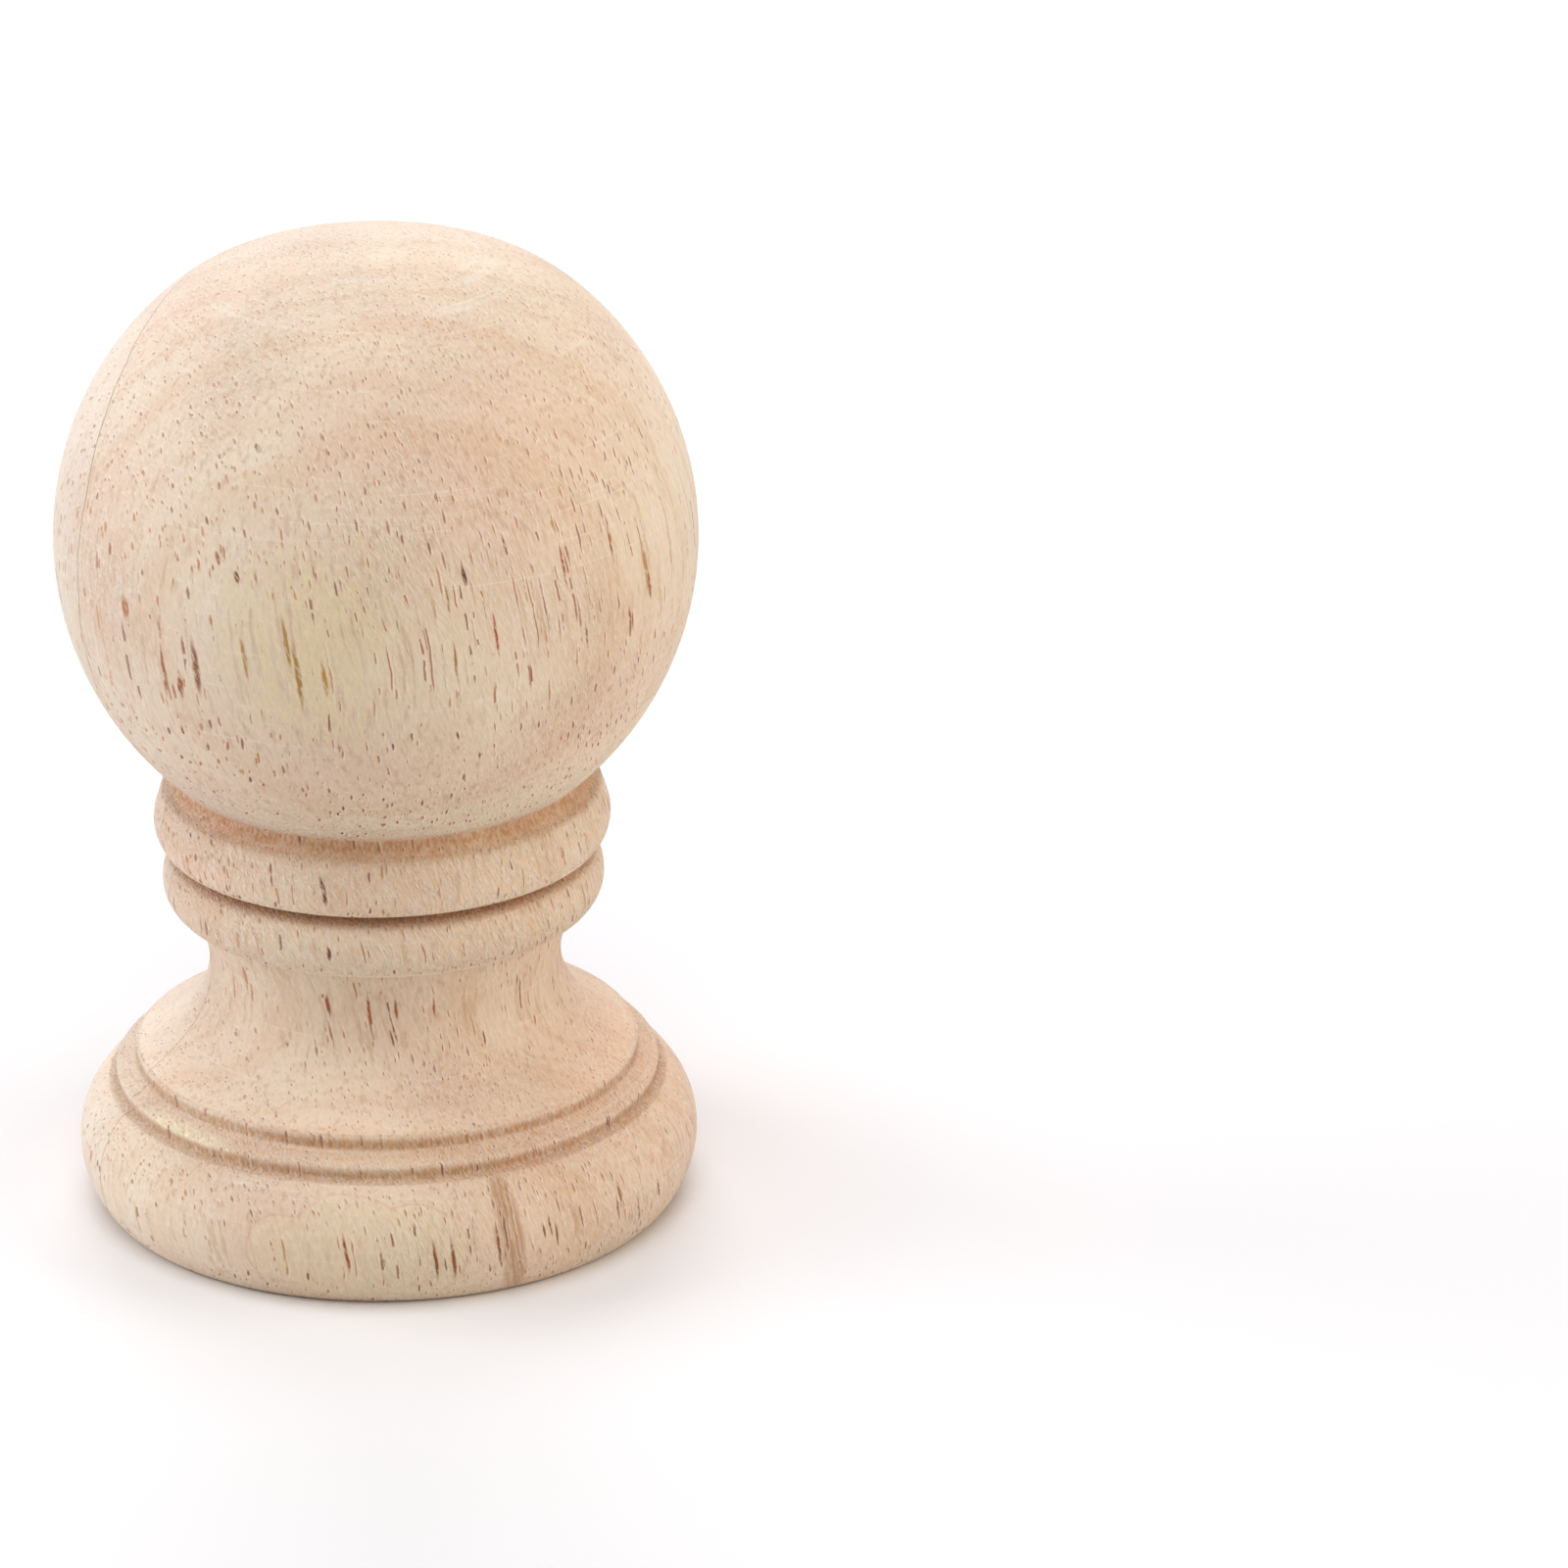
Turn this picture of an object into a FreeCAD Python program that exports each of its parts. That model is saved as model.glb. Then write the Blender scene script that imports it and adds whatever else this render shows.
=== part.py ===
# Turned wooden finial for the end of a curtain pole, left bare and sanded.
#
# It is one piece of rubberwood, turned about the vertical axis: a round base with a half-round rim
# and two shallow steps, a hollowed throat, a collar of two rings with a deep groove between them,
# and a ball with a slightly flattened crown. The foot is flat and has a blind hole for the screw
# that holds the finial on its pole.
#
# All sizes are in millimetres. The origin is the centre of the flat foot, and +Z is the axis.

import FreeCAD, Part
import math
import os

# Base: the rim's outer edge, then the ledge and the two steps inside it, going up.
BASE_RADIUS = 34.3
RIM_WIDEST_HEIGHT = 6.9
FOOT_INSET = 2.9
RIM_SHOULDER_HEIGHT = 6.8
RIM_SHOULDER_FALL = 3.3
LEDGE_WIDTH = 1.2
LEDGE_RISE = 0.4
LEDGE_HOLLOW = 0.1
LOWER_RISER_HEIGHT = 1.4
LOWER_RISER_LEAN = 0.35
TREAD_WIDTH = 2.5
TREAD_RISE = 1.2
TREAD_HOLLOW = 0.2
UPPER_RISER_HEIGHT = 1.2
UPPER_RISER_LEAN = 0.2

# Throat: a long sweep in from the upper step, a tighter curve round the neck, then a straight flare.
NECK_RADIUS = 19.4
NECK_CURVE = 9.0
SWEEP_CURVE = 26.0
SWEEP_HEIGHT = 10.3
FLARE_WIDTH = 1.2
FLARE_HEIGHT = 5.9

# Lower ring of the collar: a quarter round below its widest place and a shoulder above it.
LOWER_RING_REACH = 3.7
LOWER_RING_ROUND_HEIGHT = 3.6
LOWER_RING_SHOULDER_HEIGHT = 2.8
LOWER_RING_SHOULDER_FALL = 0.8

# Groove between the rings, measured in from the lower ring's upper edge.
GROOVE_DEPTH = 1.9
GROOVE_FLOOR_RISE = 1.0
GROOVE_ROOF_RISE = 0.8

# Upper ring of the collar, which stands a little further out than the lower one.
UPPER_RING_EXTRA = 0.8
UPPER_RING_LIP_WIDTH = 0.9
UPPER_RING_LIP_HEIGHT = 2.5
UPPER_RING_TURN_HEIGHT = 1.2
UPPER_RING_TURN_FALL = 0.2
UPPER_RING_TAPER_HEIGHT = 2.5
UPPER_RING_TAPER_FALL = 0.8

# Hollow that runs from the upper ring in to the ball.
SEAT_WIDTH = 1.7
SEAT_HEIGHT = 1.87
SEAT_HOLLOW = 0.25

# Ball: a true sphere up to the crown, which is turned to a tighter shoulder and a flatter cap.
BALL_RADIUS = 35.0
CROWN_START_ANGLE = 42.0
CROWN_SHOULDER_RADIUS = 22.5
CAP_START_ANGLE = 20.0

# Blind hole in the foot, left by a drill, for the fixing screw.
SCREW_HOLE_RADIUS = 3.0
SCREW_HOLE_DEPTH = 28.0
DRILL_POINT_ANGLE = 118.0
HOLE_MOUTH_CHAMFER = 0.5

# Corners that sanding has softened.
RIM_EDGE_ROUND = 0.4
STEP_EDGE_ROUND = 0.3
RING_EDGE_ROUND = 0.5
SHOULDER_EDGE_ROUND = 0.8

MATCH_TOLERANCE = 1e-4


def point(radius, height):
    """A place on the half outline: its distance from the axis and its height above the foot."""
    return FreeCAD.Vector(radius, 0, height)


def toward(angle, length):
    """The step of that length at an angle in degrees, counted from outwards round to up."""
    turn = math.radians(angle)
    return point(length * math.cos(turn), length * math.sin(turn))


def angle_of(step):
    """The angle in degrees of a step, counted as in toward()."""
    return math.degrees(math.atan2(step.z, step.x))


class Outline:
    """A chain of lines and arcs that is drawn from place to place and closed at the end."""

    def __init__(self, start):
        self.start = start
        self.place = start
        self.edges = []

    def line_to(self, end):
        self.edges.append(Part.LineSegment(self.place, end).toShape())
        self.place = end

    def arc_through(self, middle, end):
        self.edges.append(Part.Arc(self.place, middle, end).toShape())
        self.place = end

    def arc_about(self, centre, end):
        """The shorter arc about a centre."""
        outward = (self.place - centre) + (end - centre)
        outward.normalize()
        self.arc_through(centre + outward * (end - centre).Length, end)

    def bow_to(self, end, bulge):
        """An arc whose middle stands out from its chord, or in from it if the bulge is negative."""
        chord = end - self.place
        side = FreeCAD.Vector(chord.z, 0, -chord.x)
        side.normalize()
        self.arc_through((self.place + end) * 0.5 + side * bulge, end)

    def swell_to(self, widest):
        """An arc that comes out to its widest place and is upright there."""
        self.arc_about(upright_centre(widest, self.place), widest)

    def shoulder_to(self, end):
        """An arc that leaves its widest place upright and falls in from it."""
        self.arc_about(upright_centre(self.place, end), end)

    def face(self):
        self.line_to(self.start)
        return Part.Face(Part.Wire(self.edges))


def upright_centre(widest, other):
    """The centre of the arc through both places that is upright at the widest one."""
    chord = other - widest
    radius = chord.Length ** 2 / (2 * abs(chord.x))
    return point(widest.x - radius, widest.z)


def draw_base(outline):
    """Rim, ledge, two risers and the tread between them. Returns the corners that are rounded afterwards."""
    rim_widest = point(BASE_RADIUS, RIM_WIDEST_HEIGHT)
    outline.swell_to(rim_widest)
    rim_top = rim_widest + point(-RIM_SHOULDER_FALL, RIM_SHOULDER_HEIGHT)
    outline.shoulder_to(rim_top)
    ledge_end = rim_top + point(-LEDGE_WIDTH, LEDGE_RISE)
    outline.bow_to(ledge_end, -LEDGE_HOLLOW)
    lower_edge = ledge_end + point(LOWER_RISER_LEAN, LOWER_RISER_HEIGHT)
    outline.line_to(lower_edge)
    tread_end = lower_edge + point(-TREAD_WIDTH, TREAD_RISE)
    outline.bow_to(tread_end, -TREAD_HOLLOW)
    upper_edge = tread_end + point(UPPER_RISER_LEAN, UPPER_RISER_HEIGHT)
    outline.line_to(upper_edge)
    return {"rim": rim_top, "lower step": lower_edge, "upper step": upper_edge}


def draw_throat(outline):
    """The sweep, the curve round the neck and the flare, each running smoothly into the next."""
    neck = point(NECK_RADIUS + NECK_CURVE, outline.place.z + SWEEP_HEIGHT)
    crease = point(NECK_RADIUS + FLARE_WIDTH, neck.z + FLARE_HEIGHT)

    # The centre of the sweep, the centre of the neck's curve and the place where the two curves
    # meet are in line. That fixes the triangle of both centres and the edge of the upper step.
    to_edge = outline.place - neck
    offset = SWEEP_CURVE - NECK_CURVE
    cosine = (to_edge.Length ** 2 + offset ** 2 - SWEEP_CURVE ** 2) / (2 * to_edge.Length * offset)
    sweep_side = angle_of(to_edge) + math.degrees(math.acos(cosine))
    sweep = neck + toward(sweep_side, offset)
    outline.arc_about(sweep, neck - toward(sweep_side, NECK_CURVE))

    # The flare touches the neck's curve where it is square to the curve's radius.
    to_crease = crease - neck
    opening = math.degrees(math.acos(NECK_CURVE / to_crease.Length))
    outline.arc_about(neck, neck + toward(angle_of(to_crease) + opening, NECK_CURVE))
    outline.line_to(crease)


def draw_collar(outline):
    """Both rings and the groove between them. Returns the corners that are rounded afterwards."""
    lower_widest = outline.place + point(LOWER_RING_REACH, LOWER_RING_ROUND_HEIGHT)
    outline.swell_to(lower_widest)
    lower_edge = lower_widest + point(-LOWER_RING_SHOULDER_FALL, LOWER_RING_SHOULDER_HEIGHT)
    outline.shoulder_to(lower_edge)
    groove = lower_edge + point(-GROOVE_DEPTH, GROOVE_FLOOR_RISE)
    outline.line_to(groove)

    upper_radius = lower_widest.x + UPPER_RING_EXTRA
    lip = point(upper_radius - UPPER_RING_LIP_WIDTH, groove.z + GROOVE_ROOF_RISE)
    outline.line_to(lip)
    upper_widest = point(upper_radius, lip.z + UPPER_RING_LIP_HEIGHT)
    outline.swell_to(upper_widest)
    taper_start = upper_widest + point(-UPPER_RING_TURN_FALL, UPPER_RING_TURN_HEIGHT)
    outline.shoulder_to(taper_start)
    upper_edge = taper_start + point(-UPPER_RING_TAPER_FALL, UPPER_RING_TAPER_HEIGHT)
    outline.line_to(upper_edge)
    outline.bow_to(upper_edge + point(-SEAT_WIDTH, SEAT_HEIGHT), -SEAT_HOLLOW)
    return {"lower ring": lower_edge, "upper ring": upper_edge}


def draw_ball(outline):
    """The sphere, the shoulder of the crown and the cap, which ends on the axis."""
    seat = outline.place
    centre = point(0, seat.z + math.sqrt(BALL_RADIUS ** 2 - seat.x ** 2))
    crown_side = 90 - CROWN_START_ANGLE
    outline.arc_about(centre, centre + toward(crown_side, BALL_RADIUS))

    shoulder = centre + toward(crown_side, BALL_RADIUS - CROWN_SHOULDER_RADIUS)
    cap_side = 90 - CAP_START_ANGLE
    cap_edge = shoulder + toward(cap_side, CROWN_SHOULDER_RADIUS)
    outline.arc_about(shoulder, cap_edge)

    cap_radius = cap_edge.x / math.sin(math.radians(CAP_START_ANGLE))
    cap = cap_edge - toward(cap_side, cap_radius)
    outline.arc_about(cap, cap + point(0, cap_radius))


def draw_screw_hole(outline):
    """Down the axis to the drill's point, then out along the wall of the hole to its mouth."""
    point_height = SCREW_HOLE_RADIUS / math.tan(math.radians(DRILL_POINT_ANGLE / 2))
    outline.line_to(point(0, SCREW_HOLE_DEPTH + point_height))
    outline.line_to(point(SCREW_HOLE_RADIUS, SCREW_HOLE_DEPTH))
    outline.line_to(point(SCREW_HOLE_RADIUS, HOLE_MOUTH_CHAMFER))
    outline.line_to(point(SCREW_HOLE_RADIUS + HOLE_MOUTH_CHAMFER, 0))


def round_corner(body, corner, radius):
    """Rounds the circular edge that a corner of the outline became."""
    ring = [edge for edge in body.Edges if is_ring_at(edge, corner)]
    return body.makeFillet(radius, ring).Solids[0]


def is_ring_at(edge, corner):
    if edge.Degenerated or not isinstance(edge.Curve, Part.Circle):
        return False
    same_radius = abs(edge.Curve.Radius - corner.x) < MATCH_TOLERANCE
    return same_radius and abs(edge.Curve.Center.z - corner.z) < MATCH_TOLERANCE


def make_finial():
    outline = Outline(point(BASE_RADIUS - FOOT_INSET, 0))
    corners = draw_base(outline)
    draw_throat(outline)
    corners.update(draw_collar(outline))
    draw_ball(outline)
    draw_screw_hole(outline)

    body = outline.face().revolve(point(0, 0), FreeCAD.Vector(0, 0, 1), 360)
    body = round_corner(body, corners["rim"], RIM_EDGE_ROUND)
    body = round_corner(body, corners["lower step"], STEP_EDGE_ROUND)
    body = round_corner(body, corners["upper step"], STEP_EDGE_ROUND)
    body = round_corner(body, corners["lower ring"], RING_EDGE_ROUND)
    return round_corner(body, corners["upper ring"], SHOULDER_EDGE_ROUND)


os.makedirs("parts", exist_ok=True)
finial = make_finial()
finial.exportStep("parts/finial.step")
print("finial:", finial.ShapeType, "valid", finial.isValid(), "solids", len(finial.Solids))
print("volume", round(finial.Volume, 1), "box", finial.BoundBox)
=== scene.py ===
"""A curtain pole finial turned from bare rubberwood, standing on its foot on a pale studio floor."""
import math

import bpy
from mathutils import Euler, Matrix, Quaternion, Vector


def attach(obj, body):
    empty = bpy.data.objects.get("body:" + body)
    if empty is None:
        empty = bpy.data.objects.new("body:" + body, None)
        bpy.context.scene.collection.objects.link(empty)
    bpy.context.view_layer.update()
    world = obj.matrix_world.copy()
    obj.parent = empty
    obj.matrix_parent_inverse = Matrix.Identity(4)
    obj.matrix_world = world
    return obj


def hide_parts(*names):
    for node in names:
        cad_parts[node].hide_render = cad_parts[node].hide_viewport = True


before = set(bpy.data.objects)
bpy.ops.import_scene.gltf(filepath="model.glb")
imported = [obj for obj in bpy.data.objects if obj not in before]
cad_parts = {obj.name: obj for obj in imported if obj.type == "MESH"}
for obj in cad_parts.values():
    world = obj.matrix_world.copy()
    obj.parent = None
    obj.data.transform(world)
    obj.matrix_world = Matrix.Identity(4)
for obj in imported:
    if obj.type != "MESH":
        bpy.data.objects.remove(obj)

bpy.ops.object.select_all(action="DESELECT")
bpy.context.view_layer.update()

MM = 0.001
TURN = 2 * math.pi

# The outline from the tip of the screw hole round to the pole of the ball, in mm: the radius and height
# where each stretch ends, how far its middle bows out from the straight line, and its number of steps.
HOLE_TIP = (0.0, 29.80)
OUTLINE = [
    (3.00, 28.00, 0.0, 2),       # drill cone
    (3.00, 0.50, 0.0, 6),        # hole wall
    (3.50, 0.00, 0.0, 1),        # hole mouth
    (31.40, 0.00, 0.0, 12),      # flat of the foot
    (34.30, 6.90, 0.754, 12),    # rim up to its widest
    (31.11, 13.62, 0.839, 12),   # rim shoulder
    (30.88, 13.70, 0.019, 1),
    (29.80, 14.10, -0.082, 4),   # ledge inside the rim
    (30.07, 15.19, 0.0, 4),      # lower riser
    (29.85, 15.56, 0.090, 2),
    (27.65, 16.70, -0.159, 6),   # tread
    (27.81, 17.68, 0.0, 3),      # upper riser
    (27.65, 18.00, 0.059, 2),
    (22.63, 21.30, -0.174, 12),  # sweep up to the neck
    (19.67, 30.39, -1.374, 16),  # hollow of the neck
    (20.60, 34.10, 0.0, 6),      # flare under the rings
    (24.30, 37.70, 1.090, 10),   # lower ring
    (23.58, 40.37, 0.184, 5),
    (23.38, 40.56, 0.019, 1),
    (21.60, 41.50, 0.0, 4),      # groove floor
    (24.20, 42.30, 0.0, 5),      # groove roof
    (25.10, 44.80, 0.232, 5),    # upper ring
    (24.90, 46.00, 0.050, 3),
    (24.20, 48.19, 0.0, 4),
    (23.84, 48.64, 0.053, 2),
    (22.40, 50.37, -0.197, 5),   # seat of the ball
    (23.42, 103.27, 12.086, 98),  # ball
    (16.06, 107.70, 0.413, 14),  # crown shoulder
    (0.00, 110.53, 0.713, 24),   # cap
]
# Corners that sanding has taken the sharpness off, in mm: radius, height, and how far back each is rounded.
SANDED_CORNERS = [
    (31.40, 0.00, 0.5),
    (29.80, 14.10, 0.4),
    (27.65, 16.70, 0.25),
    (20.60, 34.10, 0.4),
    (21.60, 41.50, 0.25),
    (24.20, 42.30, 0.35),
    (22.40, 50.37, 0.3),
]
# Steps round each such corner, and round the whole piece.
CORNER_STEPS = 3
STEPS_ROUND = 300
# Points of the mesh that lie closer than this, in mm, become one, and an edge that turns by more than this
# angle stays sharp.
WELD = 0.004
SHARP_EDGE = math.radians(50)


def outline_point(radius, height):
    """A point of the outline, in metres, in the plane that is spun."""
    return Vector((radius * MM, 0.0, height * MM))


def draw_straight(step_out, step_up, steps):
    """Extrudes the outline's last point along a straight stretch."""
    for _ in range(steps):
        bpy.ops.mesh.extrude_region_move(
            TRANSFORM_OT_translate={"value": (step_out / steps, 0.0, step_up / steps)}
        )


def draw_bowed(start, end, bow, steps):
    """Spins the outline's last point along an arc whose middle stands bow off the straight line."""
    chord = end - start
    outward = Vector((chord.z, 0.0, -chord.x)).normalized()
    half = chord.length / 2
    arc_radius = (half * half + bow * bow) / (2 * abs(bow))
    centre = (start + end) / 2 + outward * (bow - math.copysign(arc_radius, bow))
    sweep = 4 * math.atan(abs(bow) / half)
    bpy.ops.mesh.spin(steps=steps, angle=math.copysign(sweep, bow), center=centre, axis=(0, 1, 0))


def pick_point(mesh, place):
    """Selects the one vertex nearest to a place."""
    nearest = min(mesh.vertices, key=lambda v: (v.co - place).length)
    nearest.select = True


def turn_finial():
    """Draws the outline as a wire, sands its corners and spins it into the whole turned piece."""
    at = outline_point(*HOLE_TIP)
    bpy.ops.mesh.primitive_plane_add(size=MM, location=at)
    finial = bpy.context.object
    finial.name = "turned_finial"
    bpy.ops.object.transform_apply(location=True, rotation=True, scale=True)
    bpy.ops.object.mode_set(mode="EDIT")
    bpy.ops.mesh.select_all(action="SELECT")
    bpy.ops.mesh.merge(type="CENTER")
    for radius, height, bow, steps in OUTLINE:
        to = outline_point(radius, height)
        if bow:
            draw_bowed(at, to, bow * MM, steps)
        else:
            draw_straight(to.x - at.x, to.z - at.z, steps)
        at = to
    for radius, height, back in SANDED_CORNERS:
        bpy.ops.mesh.select_all(action="DESELECT")
        bpy.ops.object.mode_set(mode="OBJECT")
        pick_point(finial.data, outline_point(radius, height))
        bpy.ops.object.mode_set(mode="EDIT")
        bpy.ops.mesh.bevel(offset=back * MM, segments=CORNER_STEPS, affect="VERTICES")
    bpy.ops.mesh.select_all(action="SELECT")
    bpy.ops.mesh.spin(steps=STEPS_ROUND, angle=TURN, center=(0, 0, 0), axis=(0, 0, 1))
    bpy.ops.mesh.select_all(action="SELECT")
    bpy.ops.mesh.remove_doubles(threshold=WELD * MM)
    bpy.ops.mesh.normals_make_consistent(inside=False)
    bpy.ops.object.mode_set(mode="OBJECT")
    bpy.ops.object.shade_smooth_by_angle(angle=SHARP_EDGE)
    return finial


def linear(hex_colour):
    """Turns an sRGB hex colour to the linear RGBA that a shader takes."""
    channels = [int(hex_colour[i:i + 2], 16) / 255 for i in (1, 3, 5)]
    return [c / 12.92 if c <= 0.04045 else ((c + 0.055) / 1.055) ** 2.4 for c in channels] + [1.0]


def add_node(tree, kind, inputs=(), ramp=(), **settings):
    """Adds a node, sets it, and fills or links its inputs, in the node's own order or by name or number.

    A map range takes, in its order, a value, the two ends between which it counts, and the results there.
    """
    node = tree.nodes.new(kind)
    for name, value in settings.items():
        setattr(node, name, value)
    for name, value in inputs.items() if isinstance(inputs, dict) else enumerate(inputs):
        if isinstance(value, bpy.types.NodeSocket):
            tree.links.new(value, node.inputs[name])
        else:
            node.inputs[name].default_value = value
    if ramp:
        stops = node.color_ramp.elements
        while len(stops) < len(ramp):
            stops.new(0.5)
        for stop, (place, colour) in zip(stops, ramp):
            stop.position = place
            stop.color = linear(colour)
    return node


# How the wood lies in the piece, with lengths in mm and angles in radians here and in all of the wood. The
# grain leans from the turning axis, its top to the left, and the rows in which the vessels stand run from the
# front to the back and a little left.
WOOD_TURN = (0.0, 0.125, -0.3)
WOOD_SHIFT = (-0.2, -0.2, 0.0)
# How far the fibres shiver and wander: each path leaves its line by about a quarter of this.
SHIVER = 0.4
WANDER = 3.0

# The height of the middle of the rings and of the steps, with how far each reaches up and down from it, and
# the top of the rim.
RINGS = (42.0, 7.0)
STEPS = (15.9, 2.2)
RIM_TOP = 14.0

# The pith about which the growth layers lie, far behind, how far they wave, and how strongly they and the
# strands of fibre show.
PITH = (30.0, 69.0, 0.0)
LAYER_WAVE = 7.0
SEASON_STRENGTH = 0.38
STRAND_STRENGTH = 0.6

# The way to the bark, and how far the sapwood's edge moves with the scallops and with the strands.
TO_BARK = (-0.47, -0.88, 0.02)
SAPWOOD_SCALLOP = 3.0
SAPWOOD_STRAND = 9.0
# How far toward the bark sapwood begins and is full, and the heights between which it comes in on the ball.
SAPWOOD_DEPTH = (38.4, 41.6)
SAPWOOD_HEIGHTS = (50.0, 60.0)

# The pale lobes on the rim: how wide each is, the way they face, how far their middles reach past their
# sides, how far out along that way one begins and is full, and where its edge runs, with half its width.
LOBE_WIDTH = 10.3
LOBES_FACE = (-0.1, -0.995, 0.0)
LOBE_REACH = 0.75
LOBE_DEPTH = (32.95, 33.4)
LOBE_EDGE = (33.0, 0.06)

# The joint: at a low and a high place, how it slants to the back and how far across it stands in the middle,
# how far it wavers, and half the width of its line.
JOINT_HEIGHTS = (20.0, 90.0)
JOINT_SLANT = (1.4, 0.59)
JOINT_ACROSS = (-14.1, -23.2)
JOINT_WAVER = 1.2
JOINT_HALF_WIDTH = 0.12

# The cream streak on the lower step: its middle, turn and half sizes.
STREAK_PLACE = (-22.4, -19.6, 15.4)
STREAK_TURN = (0.0, 0.0, -0.8)
STREAK_SIZE = (8.5, 8.5, 0.8)

# The brown column of stain in the foot: where it stands in the wood, with its depth halved, how far from its
# middle it ends and is full, and the heights between which it fades.
STAIN_PLACE = (3.9, -16.9, 0.0)
STAIN_EDGE = (1.7, 0.8)
STAIN_HEIGHTS = (26.0, 14.0)

# Painted shade darkens the feet of the steps, the groove between the rings, the seat of the ball and the
# underside of the ball above it, and the rest tints the foot and the rings a little warmer than the ball:
# heights and the tint at each.
TOP_OF_SHADE_AND_TONE = 60.0
CREASE_SHADE_AND_TONE = [
    (0.0, "#EFEDE7"), (13.7, "#F3F0EA"), (13.9, "#D2B48F"), (14.7, "#E8D0B4"), (15.2, "#FFFCF6"),
    (16.4, "#FAEEE2"), (16.6, "#D2B48F"), (17.3, "#E8D0B4"), (17.8, "#FFFCF6"), (20.0, "#F6F3EF"),
    (31.0, "#EDEAE3"), (36.0, "#F3F0E8"), (40.5, "#FFFAF2"), (41.0, "#D8AF87"), (41.7, "#D8AF87"),
    (42.2, "#FFFAF2"), (48.0, "#FFFBF5"), (49.6, "#D9B48E"), (50.6, "#D9B48E"), (51.4, "#DCDFD5"),
    (60.0, "#F1F3EF"),
]

# How much more the vessels crowd on the rings, how far apart the noise that cuts two neighbours is read, how
# far the raised lip of one, painted pale as a highlight, stands from its middle, and how wide the lip's soft
# edge is.
CROWD_ON_RINGS = 0.12
APART = (97.0, 61.0, 0.0)
LIP = 0.13
LIP_EDGE = 0.1

# How fine the patterns are that aren't the same all ways, as changes per mm across, deep and up. The raised
# fibres also lean from the grain.
STRANDS_PER_MM = (1.5, 1.5, 0.06)
STAIN_STREAKS_PER_MM = (3.0, 0.15, 0.04)
SCRATCHES_PER_MM = (0.05, 0.05, 3.0)
SHADE_FIBRES_PER_MM = (2.6, 2.6, 0.9)
NAP_PER_MM = (3.2, 1.5, 0.8)
NAP_LEAN = 0.25

# How far each mark sinks into the surface or stands out of it.
WIDE_RELIEF = -0.04
FINE_RELIEF = -0.03
LONG_RELIEF = -0.03
STRONG_RELIEF = -0.03
LIP_RELIEF = 0.03
NAP_RELIEF = 0.22
RING_RELIEF = 0.03

# Single vessels that stand out from the rest: where each opens on the surface, half its length and half its
# width, and its colour.
STRONG_VESSELS = [
    ((-14.8, -30.9, 84.5), 0.7, 0.26, "#792D0F"),
    ((-16.7, -29.4, 86.1), 0.8, 0.22, "#9E5A26"),
    ((-22.9, -25.8, 72.4), 3.4, 0.18, "#A0612C"),
    ((-21.1, -27.1, 71.0), 2.0, 0.26, "#9C521F"),
    ((-19.4, -28.7, 73.6), 3.4, 0.32, "#8C5526"),
    ((-26.8, -22.4, 78.0), 1.6, 0.29, "#B77439"),
    ((-12.2, -26.1, 97.1), 0.5, 0.31, "#854F22"),
    ((9.1, -32.9, 84.8), 1.3, 0.24, "#6D3915"),
    ((12.3, -32.6, 78.1), 2.8, 0.18, "#AD4F24"),
    ((19.6, -28.1, 84.0), 2.6, 0.18, "#A25826"),
    ((-9.7, -33.5, 77.7), 3.3, 0.27, "#B58640"),
    ((-8.6, -33.6, 74.3), 4.0, 0.30, "#AE8038"),
    ((-14.2, -31.8, 75.6), 2.7, 0.22, "#B58A4C"),
    ((-5.8, -34.3, 74.1), 2.4, 0.25, "#B98B40"),
    ((-6.6, -23.8, 45.4), 1.8, 0.24, "#6A2D13"),
    ((-6.1, -23.4, 37.9), 0.8, 0.26, "#753919"),
    ((-6.3, -18.6, 29.6), 1.6, 0.24, "#995320"),
    ((1.0, -19.6, 29.5), 1.5, 0.20, "#A25F28"),
    ((-1.8, -19.8, 29.0), 3.2, 0.22, "#A35B26"),
    ((5.2, -18.9, 29.0), 1.6, 0.18, "#A25F2C"),
    ((-5.0, -33.6, 7.0), 2.4, 0.20, "#99501C"),
    ((4.6, -33.5, 6.0), 2.8, 0.24, "#89491C"),
    ((6.5, -33.2, 6.0), 2.8, 0.26, "#8E4F1E"),
    ((11.5, -32.0, 6.8), 2.5, 0.22, "#89481D"),
    ((17.2, -29.5, 7.8), 1.3, 0.18, "#894D20"),
    ((24.7, -23.6, 7.0), 1.6, 0.18, "#995824"),
    ((28.6, -20.0, 80.6), 3.4, 0.34, "#B5803E"),
    ((29.0, -19.6, 78.2), 1.8, 0.22, "#9A5420"),
    ((24.7, -23.5, 85.1), 3.0, 0.16, "#A4622C"),
    ((26.8, -22.4, 75.4), 1.8, 0.18, "#9C3E1E"),
    ((22.0, -27.0, 75.8), 2.0, 0.16, "#A06A34"),
    ((8.1, -34.0, 75.4), 2.6, 0.17, "#AC7A40"),
    ((7.3, -33.8, 82.6), 1.8, 0.17, "#B07A42"),
    ((25.0, -23.5, 8.4), 1.8, 0.17, "#8E5222"),
    ((29.4, -17.6, 6.6), 1.6, 0.16, "#8A5426"),
    ((17.9, -29.2, 6.6), 1.6, 0.17, "#96602E"),
    ((16.5, -30.0, 7.4), 0.9, 0.16, "#96602E"),
    ((27.0, -20.6, 5.6), 2.2, 0.15, "#945624"),
]


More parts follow.
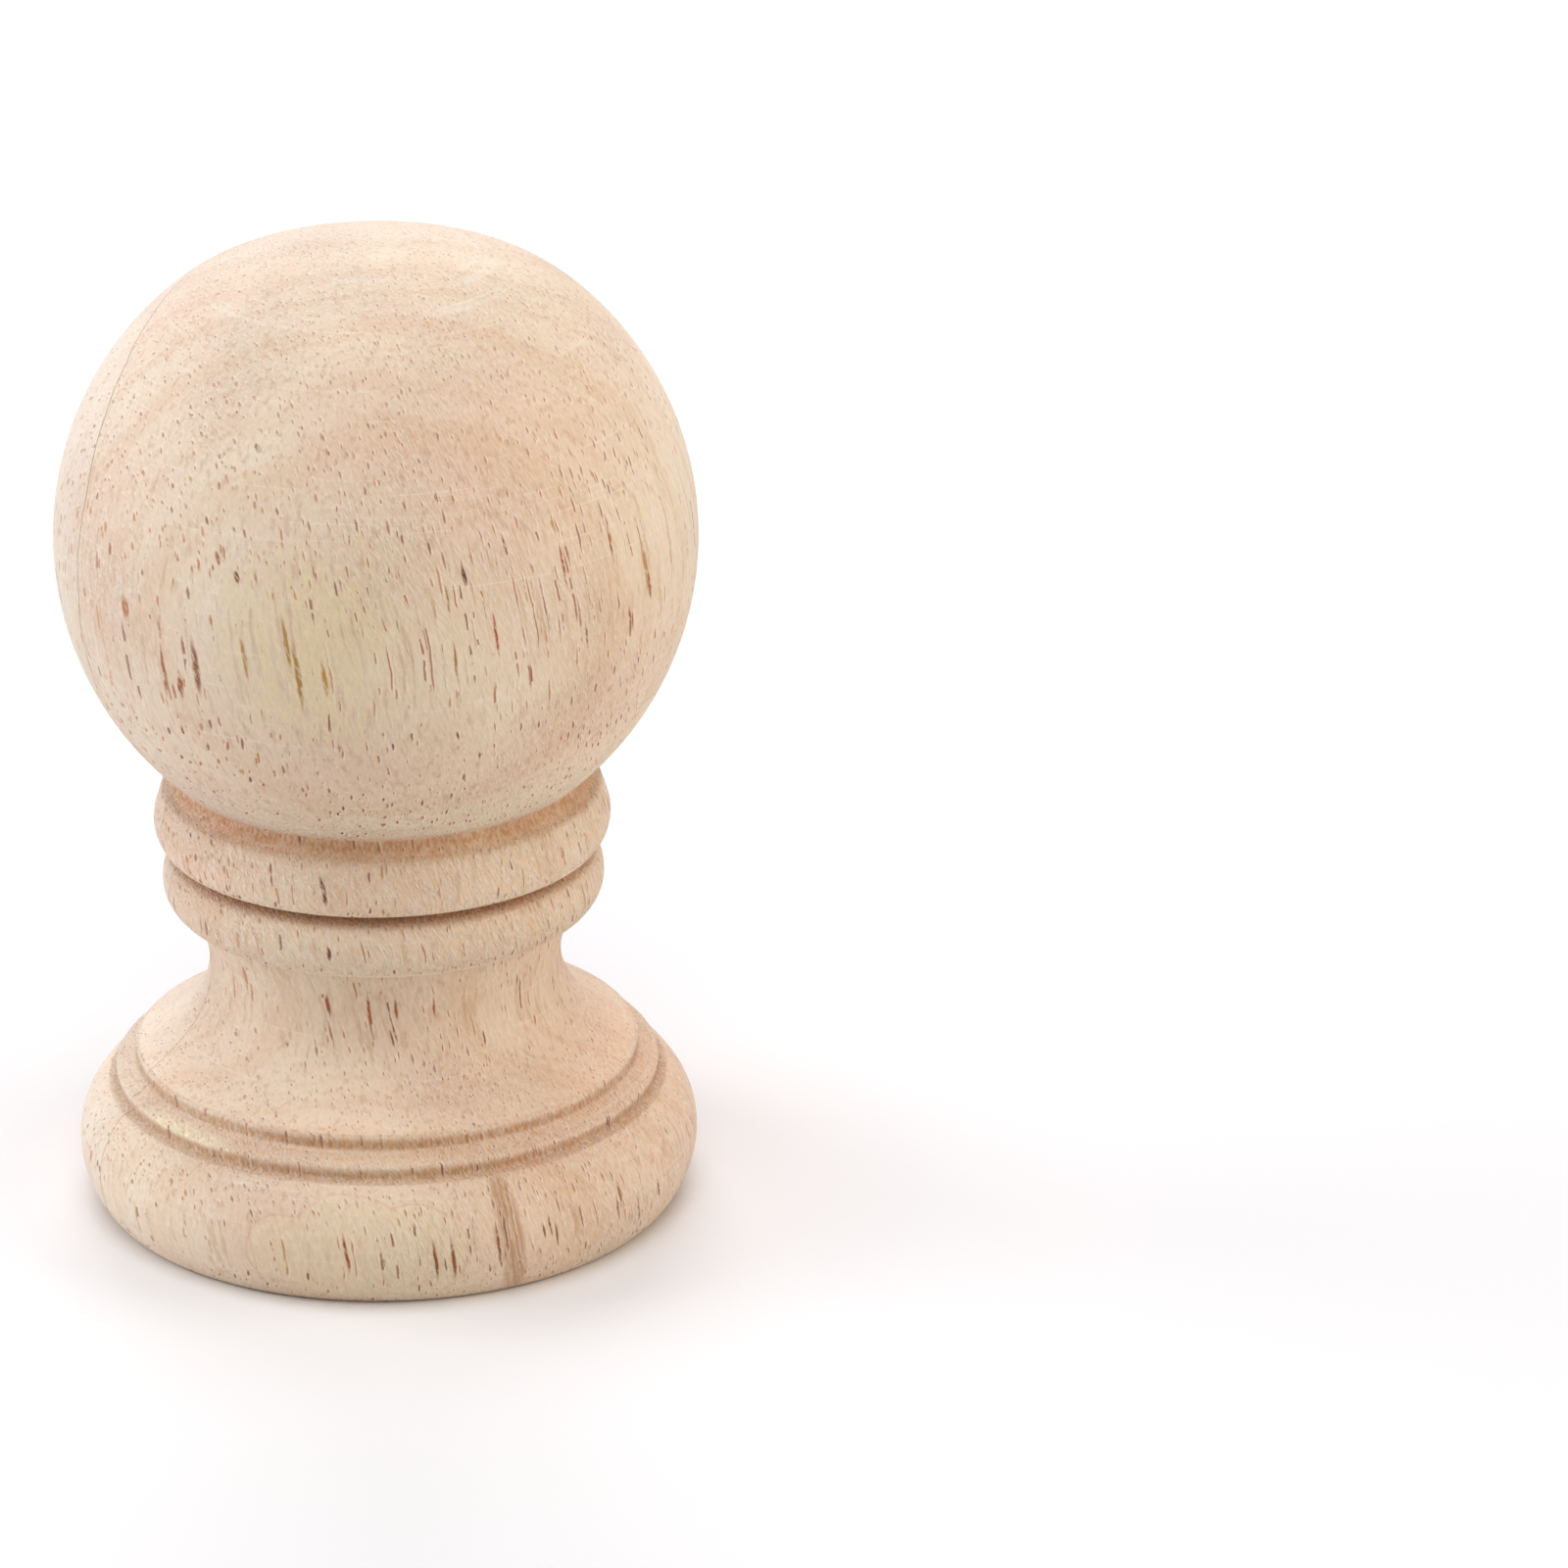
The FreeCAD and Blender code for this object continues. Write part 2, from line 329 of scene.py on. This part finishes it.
class Wood:
    """The places and paths that the patterns of the wood start from, and its colour and relief so far."""

    def __init__(self, tree):
        self.tree = tree
        self.colour = None
        self.relief = 0.0

        coordinates = self.add("ShaderNodeTexCoord")
        self.place = self.add("ShaderNodeMapping", {
            "Vector": coordinates.outputs["Object"], "Scale": (1 / MM, 1 / MM, 1 / MM),
        }).outputs[0]
        self.across, self.deep, self.height = self.add("ShaderNodeSeparateXYZ", [self.place]).outputs
        self.facing = self.add("ShaderNodeSeparateXYZ", [coordinates.outputs["Normal"]]).outputs[2]
        self.grain = self.add("ShaderNodeMapping", {
            "Vector": self.place, "Location": WOOD_SHIFT, "Rotation": WOOD_TURN,
        }).outputs[0]

        # The fibres shiver by a tenth of a millimetre every millimetre or two, and wander by ten times that.
        quick = self.add("ShaderNodeTexNoise", {
            "Vector": self.grain, "Scale": 0.6, "Detail": 3.0, "Roughness": 0.6,
        }).outputs[1]
        self.strand_path = self.add("ShaderNodeVectorMath", [
            quick, (SHIVER, SHIVER, 0.0), self.grain,
        ], operation="MULTIPLY_ADD").outputs[0]
        slow = self.add("ShaderNodeTexNoise", {
            "Vector": self.grain, "Scale": 0.05, "Detail": 1.0,
        }).outputs[1]
        self.fibre = self.add("ShaderNodeVectorMath", [
            slow, (WANDER, WANDER, 0.0), self.strand_path,
        ], operation="MULTIPLY_ADD").outputs[0]

        # Long thin bundles of fibres, and scallops some 6 mm wide for the edges of sapwood, lobes and joint.
        strand = self.add("ShaderNodeVectorMath", [
            self.fibre, STRANDS_PER_MM,
        ], operation="MULTIPLY").outputs[0]
        self.strand = self.add("ShaderNodeTexNoise", {
            "Vector": strand, "Scale": 1.0, "Detail": 3.0,
        }).outputs[0]
        self.scallop = self.add("ShaderNodeTexNoise", {
            "Vector": self.grain, "Scale": 0.16, "Detail": 1.0,
        }).outputs[0]

        # The vessels crowd together in places, and most on the rings, where the tool cut the wood rough.
        self.on_rings = self.add("ShaderNodeMath", [self.height, *RINGS], operation="COMPARE").outputs[0]
        crowd = self.add("ShaderNodeTexNoise", {
            "Vector": self.grain, "Scale": 0.08, "Detail": 2.0,
        }).outputs[0]
        self.crowd = self.add("ShaderNodeMath", [
            self.on_rings, CROWD_ON_RINGS, crowd,
        ], operation="MULTIPLY_ADD").outputs[0]

    def add(self, kind, inputs=(), ramp=(), **settings):
        """Adds a node to the wood."""
        return add_node(self.tree, kind, inputs, ramp, **settings)

    def lay(self, colour, strength, blend="MIX"):
        """Lays a colour over the colour so far, or tints it with MULTIPLY, as strongly as strength says.

        Inputs 6 and 7 are the node's two colours.
        """
        self.colour = self.add("ShaderNodeMix", {
            0: strength, 6: self.colour, 7: colour,
        }, data_type="RGBA", blend_type=blend).outputs[2]

    def raise_by(self, mask, height):
        """Raises the surface where the mask is 1, by a height in mm, or sinks it where that is negative."""
        self.relief = self.add("ShaderNodeMath", [
            mask, height, self.relief,
        ], operation="MULTIPLY_ADD").outputs[0]


def draw_body(wood):
    """Cream, peach and pink that change slowly over the piece, warmer toward the heart of the tree."""
    blush = wood.add("ShaderNodeTexNoise", {"Vector": wood.grain, "Scale": 0.035, "Detail": 3.0}).outputs[0]
    wood.colour = wood.add("ShaderNodeValToRGB", [blush], ramp=[
        (0.33, "#F1E1CD"), (0.5, "#ECD6C1"), (0.67, "#E8CBB6"),
    ]).outputs[0]
    heart = wood.add("ShaderNodeMapRange", [wood.across, -20.0, 36.0]).outputs[0]
    wood.lay(linear("#FFF9EE"), heart, "MULTIPLY")


def draw_growth_layers(wood):
    """Sheets some 6 mm apart about a pith far behind, which show as faint nested ovals on the front."""
    pith = wood.add("ShaderNodeVectorMath", [wood.grain, (1.0, 1.0, 0.0)], operation="MULTIPLY").outputs[0]
    pith = wood.add("ShaderNodeVectorMath", [pith, PITH], operation="DISTANCE").outputs[1]
    ragged = wood.add("ShaderNodeTexNoise", {"Vector": wood.grain, "Scale": 0.07, "Detail": 3.0}).outputs[0]
    layer = wood.add("ShaderNodeMath", [ragged, LAYER_WAVE, pith], operation="MULTIPLY_ADD").outputs[0]
    season = wood.add("ShaderNodeTexNoise", {
        "W": layer, "Scale": 0.2, "Detail": 3.0,
    }, noise_dimensions="1D").outputs[0]
    season_tint = wood.add("ShaderNodeValToRGB", [season], ramp=[
        (0.32, "#FFFAF0"), (0.5, "#FFFFFF"), (0.6, "#F4E2CE"), (0.68, "#F7E8DA"),
    ]).outputs[0]
    wood.lay(season_tint, SEASON_STRENGTH, "MULTIPLY")


def draw_strands(wood):
    """Long thin stripes of lighter and darker fibres."""
    strand_tint = wood.add("ShaderNodeValToRGB", [wood.strand], ramp=[
        (0.3, "#E2CDB4"), (0.47, "#FFFFFF"), (0.7, "#FFFDF6"),
    ]).outputs[0]
    wood.lay(strand_tint, STRAND_STRENGTH, "MULTIPLY")


def draw_sapwood(wood):
    """Yellow sapwood under the bark side, which the front of the ball cuts into.

    It ends in scallops and in streaks along the grain.
    """
    rind = wood.add("ShaderNodeVectorMath", [wood.grain, TO_BARK], operation="DOT_PRODUCT").outputs[1]
    for pattern, reach in ((wood.scallop, SAPWOOD_SCALLOP), (wood.strand, SAPWOOD_STRAND)):
        rind = wood.add("ShaderNodeMath", [pattern, reach, rind], operation="MULTIPLY_ADD").outputs[0]
    sapwood = wood.add("ShaderNodeMapRange", [
        rind, *SAPWOOD_DEPTH, 0.0, 0.9,
    ], interpolation_type="SMOOTHSTEP").outputs[0]
    on_ball = wood.add("ShaderNodeMapRange", [wood.height, *SAPWOOD_HEIGHTS]).outputs[0]
    sapwood = wood.add("ShaderNodeMath", [sapwood, on_ball], operation="MULTIPLY").outputs[0]
    wood.lay(linear("#EDD6AE"), sapwood)


def draw_lobes(wood):
    """Pale lobes in a row on the front of the rim, which cuts into the sapwood too, with a faint edge."""
    wave = wood.add("ShaderNodeMath", [wood.across, math.pi / LOBE_WIDTH], operation="MULTIPLY").outputs[0]
    wave = wood.add("ShaderNodeMath", [wave], operation="SINE").outputs[0]
    wave = wood.add("ShaderNodeMath", [wave], operation="ABSOLUTE").outputs[0]
    wave = wood.add("ShaderNodeMath", [wood.scallop, 1.2, wave], operation="MULTIPLY_ADD").outputs[0]
    out = wood.add("ShaderNodeVectorMath", [wood.place, LOBES_FACE], operation="DOT_PRODUCT").outputs[1]
    lobed = wood.add("ShaderNodeMath", [wave, LOBE_REACH, out], operation="MULTIPLY_ADD").outputs[0]
    on_rim = wood.add("ShaderNodeMath", [wood.height, RIM_TOP], operation="LESS_THAN").outputs[0]
    in_lobe = wood.add("ShaderNodeMapRange", [
        lobed, *LOBE_DEPTH, 0.0, 0.45,
    ], interpolation_type="SMOOTHSTEP").outputs[0]
    in_lobe = wood.add("ShaderNodeMath", [in_lobe, on_rim], operation="MULTIPLY").outputs[0]
    wood.lay(linear("#EFDCB8"), in_lobe)
    lobe_edge = wood.add("ShaderNodeMath", [lobed, *LOBE_EDGE], operation="COMPARE").outputs[0]
    lobe_edge = wood.add("ShaderNodeMath", [lobe_edge, on_rim], operation="MULTIPLY").outputs[0]
    wood.lay(linear("#FAF1E8"), lobe_edge, "MULTIPLY")


def draw_nap(wood):
    """Short raised fibres that sanding left, lying across the grain, most on the rings and the steps.

    They are a few hundredths of a millimetre thick, too fine to show, and are drawn as coarse as a third.
    Their darker flecks are painted shade and their pale tips a painted highlight, beside their relief. The
    pattern is given back, because the fibres also cross the strong vessels.
    """
    nap = wood.add("ShaderNodeVectorRotate", {
        "Vector": wood.grain, "Angle": NAP_LEAN,
    }, rotation_type="Y_AXIS").outputs[0]
    nap = wood.add("ShaderNodeVectorMath", [nap, NAP_PER_MM], operation="MULTIPLY").outputs[0]
    nap = wood.add("ShaderNodeTexNoise", {
        "Vector": nap, "Scale": 1.0, "Detail": 2.5, "Roughness": 0.6,
    }).outputs[0]
    rough = wood.add("ShaderNodeTexNoise", {"Vector": wood.place, "Scale": 0.05, "Detail": 2.0}).outputs[0]
    rough = wood.add("ShaderNodeMapRange", [rough, 0.45, 0.62, 0.2, 0.6]).outputs[0]
    rough = wood.add("ShaderNodeMath", [rough, wood.on_rings], operation="MAXIMUM").outputs[0]
    on_steps = wood.add("ShaderNodeMath", [wood.height, *STEPS], operation="COMPARE").outputs[0]
    rough = wood.add("ShaderNodeMath", [rough, on_steps], operation="MAXIMUM").outputs[0]

    # Painted shade: the fibres' darker flecks.
    nap_painted_light_and_shade = wood.add("ShaderNodeValToRGB", [nap], ramp=[
        (0.3, "#E0CDBA"), (0.43, "#F6EDE4"), (0.55, "#FFFFFF"),
    ]).outputs[0]
    nap_show = wood.add("ShaderNodeMapRange", [rough, 0.2, 1.0, 0.2, 0.65]).outputs[0]
    wood.lay(nap_painted_light_and_shade, nap_show, "MULTIPLY")
    raised = wood.add("ShaderNodeMapRange", [nap, 0.45, 0.75]).outputs[0]
    raised = wood.add("ShaderNodeMath", [raised, rough], operation="MULTIPLY").outputs[0]
    # Painted highlight: the pale tips of the raised fibres.
    painted_fibre_highlight = wood.add("ShaderNodeMath", [raised, 0.6], operation="MULTIPLY").outputs[0]
    wood.lay(linear("#F9E9D6"), painted_fibre_highlight)
    wood.raise_by(raised, NAP_RELIEF)
    return nap


def draw_scratches(wood):
    """Faint rings that the abrasive left as the piece turned, with paler lines in them."""
    ring = wood.add("ShaderNodeVectorMath", [wood.place, SCRATCHES_PER_MM], operation="MULTIPLY").outputs[0]
    ring = wood.add("ShaderNodeTexNoise", {"Vector": ring, "Scale": 1.0, "Detail": 2.0}).outputs[0]
    scratch = wood.add("ShaderNodeMapRange", [ring, 0.62, 0.72, 0.0, 0.3]).outputs[0]
    wood.lay(linear("#F8EEE2"), scratch)
    wood.raise_by(ring, RING_RELIEF)


def draw_joint(wood):
    """The joint with a paler board on the left, a thin dark line from crown to rim, fainter behind."""
    slant = wood.add("ShaderNodeMapRange", [wood.height, *JOINT_HEIGHTS, *JOINT_SLANT]).outputs[0]
    start = wood.add("ShaderNodeMapRange", [wood.height, *JOINT_HEIGHTS, *JOINT_ACROSS]).outputs[0]
    joint = wood.add("ShaderNodeMath", [slant, wood.deep, start], operation="MULTIPLY_ADD").outputs[0]
    joint = wood.add("ShaderNodeMath", [wood.across, joint], operation="SUBTRACT").outputs[0]
    joint = wood.add("ShaderNodeMath", [
        wood.scallop, JOINT_WAVER, joint,
    ], operation="MULTIPLY_ADD").outputs[0]

    # The noise is one half on the whole, so the line runs where the waver is half its reach.
    line = JOINT_WAVER / 2
    pale_board = wood.add("ShaderNodeMapRange", [joint, line + 0.1, line - 0.1, 0.0, 0.2]).outputs[0]
    wood.lay(linear("#F4EADD"), pale_board)
    joint = wood.add("ShaderNodeMath", [joint, line, JOINT_HALF_WIDTH], operation="COMPARE").outputs[0]
    joint_show = wood.add("ShaderNodeMapRange", [wood.deep, 0.0, 14.0, 0.8, 0.3]).outputs[0]
    joint = wood.add("ShaderNodeMath", [joint, joint_show], operation="MULTIPLY").outputs[0]
    wood.lay(linear("#A5845F"), joint)


def draw_streak(wood):
    """A cream streak along the lip of the lower step."""
    streak = wood.add("ShaderNodeMapping", {
        "Vector": wood.place, "Location": STREAK_PLACE, "Rotation": STREAK_TURN, "Scale": STREAK_SIZE,
    }, vector_type="TEXTURE").outputs[0]
    streak = wood.add("ShaderNodeVectorMath", [streak], operation="LENGTH").outputs[1]
    streak = wood.add("ShaderNodeMapRange", [streak, 1.0, 0.5, 0.0, 0.95]).outputs[0]
    wood.lay(linear("#F8E8C8"), streak)


def draw_stain(wood):
    """A brown column of mineral stain through the foot, right of the front, streaked along the grain."""
    stain = wood.add("ShaderNodeVectorMath", [
        wood.strand_path, (1.0, 0.5, 0.0),
    ], operation="MULTIPLY").outputs[0]
    stain = wood.add("ShaderNodeVectorMath", [stain, STAIN_PLACE], operation="DISTANCE").outputs[1]
    stain = wood.add("ShaderNodeMapRange", [
        stain, *STAIN_EDGE, 0.0, 0.8,
    ], interpolation_type="SMOOTHSTEP").outputs[0]
    in_foot = wood.add("ShaderNodeMapRange", [wood.height, *STAIN_HEIGHTS]).outputs[0]
    stain = wood.add("ShaderNodeMath", [stain, in_foot], operation="MULTIPLY").outputs[0]
    streaks = wood.add("ShaderNodeVectorMath", [
        wood.fibre, STAIN_STREAKS_PER_MM,
    ], operation="MULTIPLY").outputs[0]
    streaks = wood.add("ShaderNodeTexNoise", {"Vector": streaks, "Scale": 1.0, "Detail": 2.0}).outputs[0]
    streaks = wood.add("ShaderNodeMapRange", [streaks, 0.42, 0.6, 1.0, 0.45]).outputs[0]
    stain = wood.add("ShaderNodeMath", [stain, streaks], operation="MULTIPLY").outputs[0]
    wood.lay(linear("#B58258"), stain)


def draw_crease_shade_and_tone(wood):
    """Painted shade in the feet of the steps, the groove, the seat and under the ball, with the wood's tones,
    more on some fibres than on others.
    """
    height = wood.add("ShaderNodeMapRange", [wood.height, 0.0, TOP_OF_SHADE_AND_TONE]).outputs[0]
    crease_shade_and_tone = wood.add("ShaderNodeValToRGB", [height], ramp=[
        (level / TOP_OF_SHADE_AND_TONE, shade) for level, shade in CREASE_SHADE_AND_TONE
    ]).outputs[0]
    comb = wood.add("ShaderNodeVectorMath", [
        wood.place, SHADE_FIBRES_PER_MM,
    ], operation="MULTIPLY").outputs[0]
    comb = wood.add("ShaderNodeTexNoise", {"Vector": comb, "Scale": 1.0, "Detail": 2.0}).outputs[0]
    comb = wood.add("ShaderNodeMapRange", [comb, 0.4, 0.6, 0.55, 1.0]).outputs[0]
    # Lays the painted shade in the creases and under the ball, with the tones of foot, rings and ball.
    wood.lay(crease_shade_and_tone, comb, "MULTIPLY")


def vessels(wood, width, depth, radius, soft, run, share):
    """Tubes along the grain in cells of this width and depth, each open for part of its length.

    They stand in short rows one behind the other, so a hole is longer front to back than it is wide. The
    function gives where they are open, a random value for each, and where their raised lips are, which are
    also painted pale as a highlight.
    """
    plan = wood.add("ShaderNodeVectorMath", [
        wood.fibre, (1 / width, 1 / depth, 0.0),
    ], operation="MULTIPLY").outputs[0]
    cells = wood.add("ShaderNodeTexVoronoi", {"Vector": plan, "Scale": 1.0}, voronoi_dimensions="2D")
    seed = wood.add("ShaderNodeSeparateColor", [cells.outputs["Color"]]).outputs[2]
    wall = wood.add("ShaderNodeMapRange", [
        cells.outputs["Distance"], (radius + soft) / width, (radius - soft) / width,
    ], interpolation_type="SMOOTHSTEP").outputs[0]

    # Each vessel is cut at heights of its own, and more are open where they crowd.
    along = wood.add("ShaderNodeSeparateXYZ", [wood.fibre]).outputs[2]
    level = wood.add("ShaderNodeCombineXYZ", {"Z": along}).outputs[0]
    spot = wood.add("ShaderNodeVectorMath", [
        cells.outputs["Color"], APART,
    ], operation="MULTIPLY").outputs[0]
    spot = wood.add("ShaderNodeVectorMath", [
        level, (0.0, 0.0, 1 / run), spot,
    ], operation="MULTIPLY_ADD").outputs[0]
    cut = wood.add("ShaderNodeTexNoise", {"Vector": spot, "Scale": 1.0, "Detail": 1.0}).outputs[0]
    cut = wood.add("ShaderNodeMath", [wood.crowd, 0.5, cut], operation="MULTIPLY_ADD").outputs[0]
    shown = wood.add("ShaderNodeMapRange", [cut, 0.76 - share, 0.8 - share]).outputs[0]
    hole = wood.add("ShaderNodeMath", [wall, shown], operation="MULTIPLY").outputs[0]

    beside = wood.add("ShaderNodeVectorMath", [
        cells.outputs["Position"], (LIP / width, 0.0, 0.0),
    ], operation="ADD").outputs[0]
    beside = wood.add("ShaderNodeVectorMath", [plan, beside], operation="DISTANCE").outputs[1]
    lip = wood.add("ShaderNodeMapRange", [
        beside, (radius + LIP_EDGE) / width, radius / width,
    ], interpolation_type="SMOOTHSTEP").outputs[0]
    lip = wood.add("ShaderNodeMath", [lip, shown], operation="MULTIPLY").outputs[0]
    return hole, seed, lip


def draw_vessels(wood):
    """Open brown vessels of three kinds: wide, fine, and long ones that show where the surface runs along.

    Each hole has a raised lip on one side, painted pale as a highlight. The wide holes are deeper in colour
    on the underside of the ball, where they are cut square. The wide and the fine are paler where the surface
    faces up.
    """
    wide, wide_seed, wide_lip = vessels(
        wood, width=1.05, depth=2.2, radius=0.12, soft=0.05, run=2.2, share=0.03)
    fine, fine_seed, fine_lip = vessels(
        wood, width=0.62, depth=1.2, radius=0.08, soft=0.04, run=1.2, share=-0.02)
    long, long_seed, long_lip = vessels(
        wood, width=1.25, depth=2.3, radius=0.08, soft=0.04, run=8.0, share=0.07)

    lip = wood.add("ShaderNodeMath", [wide_lip, fine_lip], operation="MAXIMUM").outputs[0]
    lip = wood.add("ShaderNodeMath", [lip, long_lip], operation="MAXIMUM").outputs[0]
    painted_lip_highlight = wood.add("ShaderNodeMath", [lip, 0.3], operation="MULTIPLY").outputs[0]
    # The pale lip beside each hole is a painted highlight.
    wood.lay(linear("#F5E6D6"), painted_lip_highlight)

    underside = wood.add("ShaderNodeMapRange", [
        wood.facing, -0.15, -0.5,
    ], interpolation_type="SMOOTHSTEP").outputs[0]
    cut_square = wood.add("ShaderNodeMapRange", [underside, 0.0, 1.0, 0.8, 1.0]).outputs[0]
    # The wide and fine vessels are paler where the surface faces up.
    paler_facing_up = wood.add("ShaderNodeMapRange", [wood.facing, 0.3, 0.8, 1.0, 0.55]).outputs[0]
    wide_tint = wood.add("ShaderNodeValToRGB", [wide_seed], ramp=[
        (0.0, "#C98A45"), (0.4, "#B06622"), (0.75, "#944A12"), (0.95, "#702E0A"), (1.0, "#962F0A"),
    ]).outputs[0]
    wide_show = wood.add("ShaderNodeMath", [wide, cut_square], operation="MULTIPLY").outputs[0]
    wide_show = wood.add("ShaderNodeMath", [wide_show, paler_facing_up], operation="MULTIPLY").outputs[0]
    wood.lay(wide_tint, wide_show)
    fine_show = wood.add("ShaderNodeMath", [fine, fine_seed], operation="MULTIPLY").outputs[0]
    fine_show = wood.add("ShaderNodeMath", [fine_show, paler_facing_up], operation="MULTIPLY").outputs[0]
    wood.lay(linear("#B87A38"), fine_show)
    long_tint = wood.add("ShaderNodeValToRGB", [long_seed], ramp=[
        (0.0, "#C98848"), (0.6, "#B06622"), (0.9, "#C4582A"), (1.0, "#8F4614"),
    ]).outputs[0]
    long_show = wood.add("ShaderNodeMath", [long, 0.8], operation="MULTIPLY").outputs[0]
    wood.lay(long_tint, long_show)

    wood.raise_by(wide, WIDE_RELIEF)
    wood.raise_by(fine, FINE_RELIEF)
    wood.raise_by(long, LONG_RELIEF)
    wood.raise_by(lip, LIP_RELIEF)


def draw_strong_vessels(wood, nap):
    """The single vessels that stand out, each broken up by the raised fibres that cross it."""
    broken = wood.add("ShaderNodeMapRange", [nap, 0.62, 0.5, 0.35, 1.0]).outputs[0]
    wood_turn = Euler(WOOD_TURN).to_quaternion()
    for opening, half_length, half_width, shade in STRONG_VESSELS:
        centre = wood_turn @ Vector(opening)
        stroke = wood.add("ShaderNodeVectorMath", [
            wood.strand_path, centre,
        ], operation="SUBTRACT").outputs[0]
        stroke = wood.add("ShaderNodeVectorMath", [
            stroke, (1 / half_width, 0.8, 1 / half_length),
        ], operation="MULTIPLY").outputs[0]
        stroke = wood.add("ShaderNodeVectorMath", [stroke], operation="LENGTH").outputs[1]
        stroke = wood.add("ShaderNodeMapRange", [
            stroke, 1.2, 0.5,
        ], interpolation_type="SMOOTHSTEP").outputs[0]
        stroke = wood.add("ShaderNodeMath", [stroke, broken], operation="MULTIPLY").outputs[0]
        wood.lay(linear(shade), stroke)
        wood.raise_by(stroke, STRONG_RELIEF)


def make_rubberwood():
    """Bare rubberwood, turned and dry sanded, with no finish: pale and matt, with open brown vessels.

    The wood is drawn as a solid, so a vessel is a dot on end grain and a long stroke where the surface runs
    with the grain.
    """
    material = bpy.data.materials.new("rubberwood")
    material.use_nodes = True
    material.node_tree.nodes.clear()
    wood = Wood(material.node_tree)
    draw_body(wood)
    draw_growth_layers(wood)
    draw_strands(wood)
    draw_sapwood(wood)
    draw_lobes(wood)
    nap = draw_nap(wood)
    draw_scratches(wood)
    draw_joint(wood)
    draw_streak(wood)
    draw_stain(wood)
    draw_crease_shade_and_tone(wood)
    draw_vessels(wood)
    draw_strong_vessels(wood, nap)

    bump = wood.add("ShaderNodeBump", {"Height": wood.relief, "Distance": MM, "Strength": 1.0}).outputs[0]
    shader = wood.add("ShaderNodeBsdfPrincipled", {
        "Base Color": wood.colour, "Roughness": 0.75, "IOR": 1.45, "Normal": bump,
        "Sheen Weight": 0.35, "Sheen Roughness": 0.5, "Sheen Tint": linear("#FFFAF6"),
    }).outputs[0]
    wood.add("ShaderNodeOutputMaterial", {"Surface": shader})
    return material


# The studio, in metres: the side of the floor, the point that the lights face, and the soft boxes, each with
# its name, place, side, power in watts and colour.
FLOOR_SIDE = 6.0
LIT_POINT = (0.0, 0.0, 0.06)
SOFT_BOXES = [
    ("overhead_light", (0.0, -0.15, 0.95), 0.9, 6.8, "#EFF4FF"),
    ("left_light", (-0.8, 0.15, 0.35), 0.6, 4.75, "#F8FAFF"),
    ("right_light", (0.8, -0.1, 0.35), 0.6, 3.2, "#FFF6EC"),
    ("front_light", (0.0, -0.75, 0.75), 0.6, 2.6, "#FFF9F4"),
    ("back_light", (0.0, 0.8, 0.5), 0.6, 4.5, "#F6F5FF"),
]
ROOM_LIGHT = 0.08

# The camera stands a metre from the middle of the ball, about 21 degrees above it. It looks a little to the
# right, which leaves that side of the picture free, and is a hair off level: angles in degrees.
CAMERA_PLACE = (0.0, -0.93479, 0.43234)
LOOK_RIGHT = 2.70711
LOOK_DOWN = 22.38614
LEAN = -0.224
SENSOR_WIDTH = 36.0
LENS = 211.19


def lay_floor():
    """A plain floor of matt white card, too rough to mirror the piece, running well past the picture."""
    bpy.ops.mesh.primitive_plane_add(size=FLOOR_SIDE, location=(0.0, 0.0, 0.0))
    floor = bpy.context.object
    floor.name = "floor"
    material = bpy.data.materials.new("matt_white_card")
    material.use_nodes = True
    shader = material.node_tree.nodes["Principled BSDF"]
    shader.inputs["Base Color"].default_value = linear("#ECEAE7")
    shader.inputs["Roughness"].default_value = 0.9
    floor.data.materials.append(material)


def light_studio():
    """Soft boxes all round, and a little light from the white room."""
    world = bpy.data.worlds.new("studio")
    world.use_nodes = True
    room = world.node_tree.nodes["Background"]
    room.inputs["Color"].default_value = linear("#FFFFFF")
    room.inputs["Strength"].default_value = ROOM_LIGHT
    bpy.context.scene.world = world
    for name, place, side, power, colour in SOFT_BOXES:
        lamp = bpy.data.lights.new(name, "AREA")
        lamp.size = side
        lamp.energy = power
        lamp.color = linear(colour)[:3]
        box = bpy.data.objects.new(name, lamp)
        box.location = place
        box.rotation_euler = (Vector(LIT_POINT) - Vector(place)).to_track_quat("-Z", "Y").to_euler()
        bpy.context.scene.collection.objects.link(box)


def place_camera():
    """The camera of the photograph, with its long lens."""
    data = bpy.data.cameras.new("camera")
    data.sensor_width = SENSOR_WIDTH
    data.lens = LENS
    data.clip_start = 0.01
    data.clip_end = 20.0
    camera = bpy.data.objects.new("camera", data)
    right = math.radians(LOOK_RIGHT)
    down = math.radians(LOOK_DOWN)
    ahead = Vector((math.sin(right) * math.cos(down), math.cos(right) * math.cos(down), -math.sin(down)))
    camera.rotation_mode = "QUATERNION"
    camera.rotation_quaternion = (
        ahead.to_track_quat("-Z", "Y") @ Quaternion((0, 0, 1), math.radians(LEAN))
    )
    camera.location = CAMERA_PLACE
    bpy.context.scene.collection.objects.link(camera)
    bpy.context.scene.camera = camera


place_camera()
light_studio()
lay_floor()
bpy.context.scene.view_settings.view_transform = "Standard"

bpy.ops.object.select_all(action="DESELECT")
finial = turn_finial()
finial.data.materials.append(make_rubberwood())
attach(finial, "root")
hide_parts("finial")
